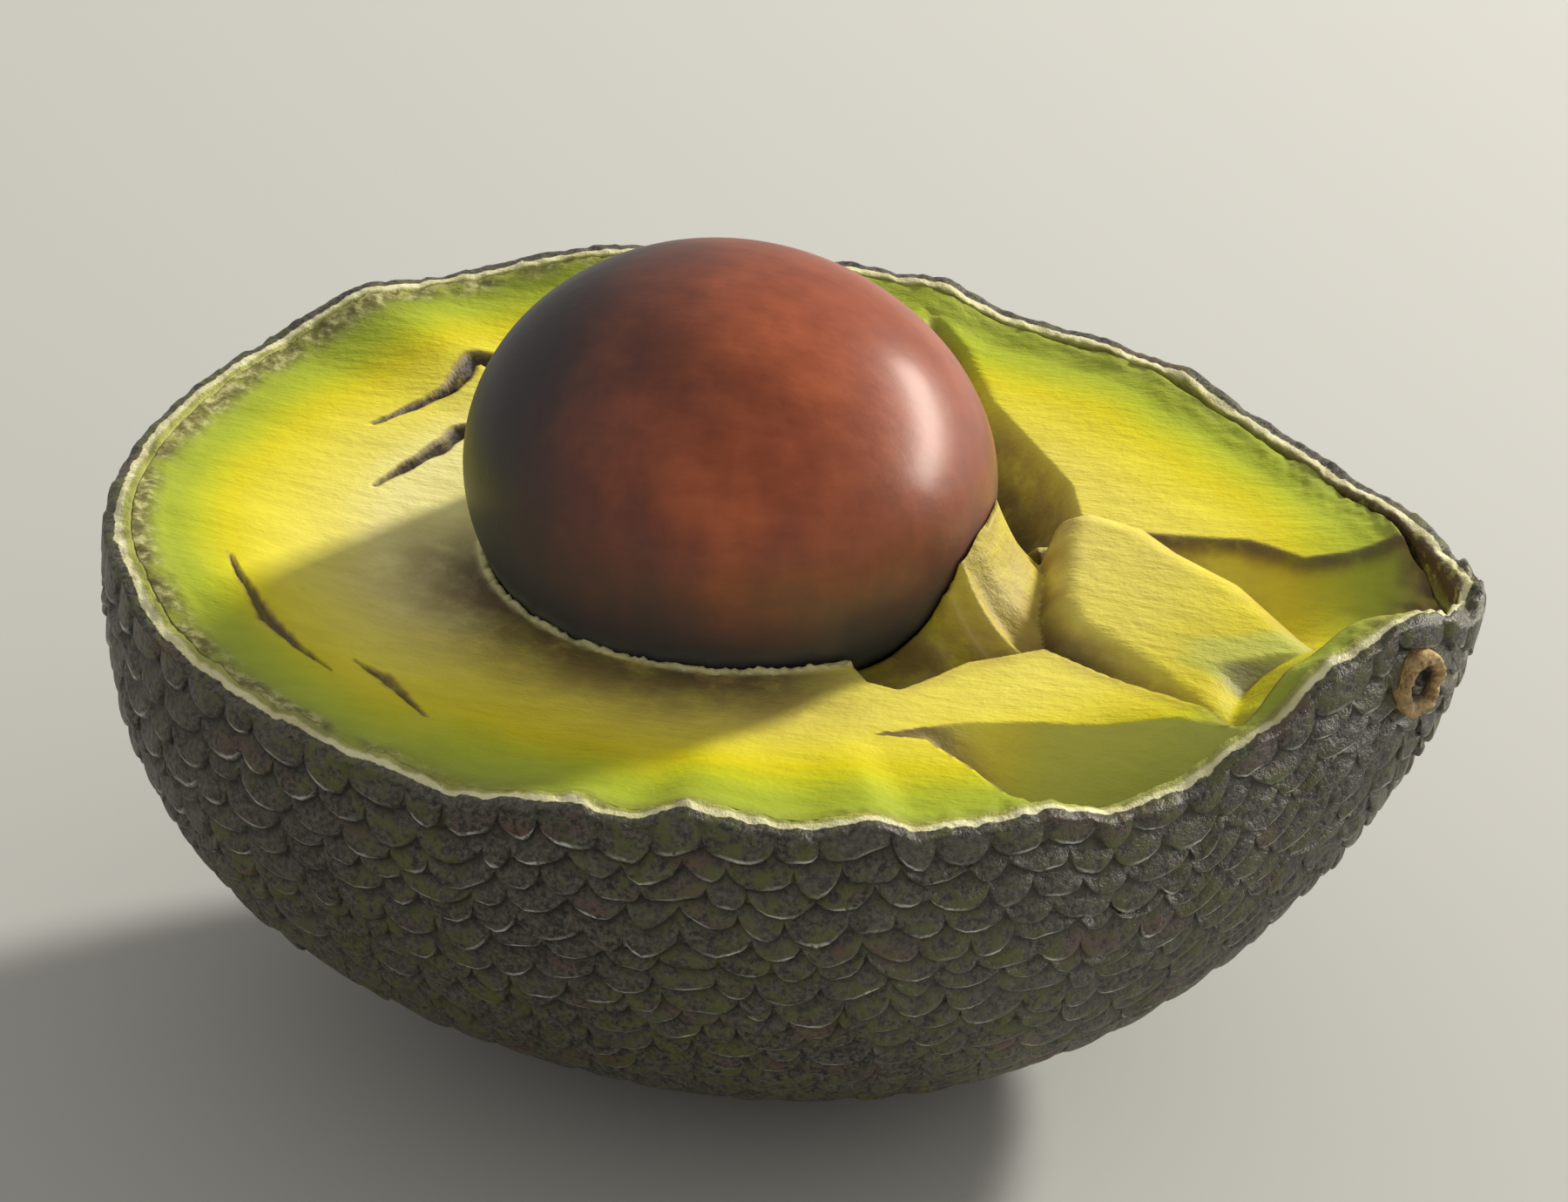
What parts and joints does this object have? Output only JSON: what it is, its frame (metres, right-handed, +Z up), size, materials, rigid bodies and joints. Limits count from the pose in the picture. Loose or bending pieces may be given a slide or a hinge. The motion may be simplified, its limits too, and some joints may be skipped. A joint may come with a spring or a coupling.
{
  "type": "avocado half",
  "caption": "Ripe avocado half cut lengthwise, with its stone standing in torn green and yellow flesh inside a dark scaly skin.",
  "frame": {"origin": "middle of the small flat spot that the half rests on", "axes": "+X points to the stalk end, along the fruit's length; +Z points up, out of the cut; -Y is the front, where the flesh is torn"},
  "size_m": [0.0967, 0.0723, 0.0601],
  "materials": {
    "skin": "semi-gloss scaly peel, near black with olive between the scales",
    "flesh": "moist satin, green at the peel, yellow, then cream at the stone",
    "seed": "smooth gloss, red-brown, darker round its edge",
    "stem_scar": "dry matt cork"
  },
  "bodies": {
    "root": {"skin": "skin", "flesh": "flesh", "seed": "seed", "stem_scar": "stem_scar"}
  },
  "joints": []
}
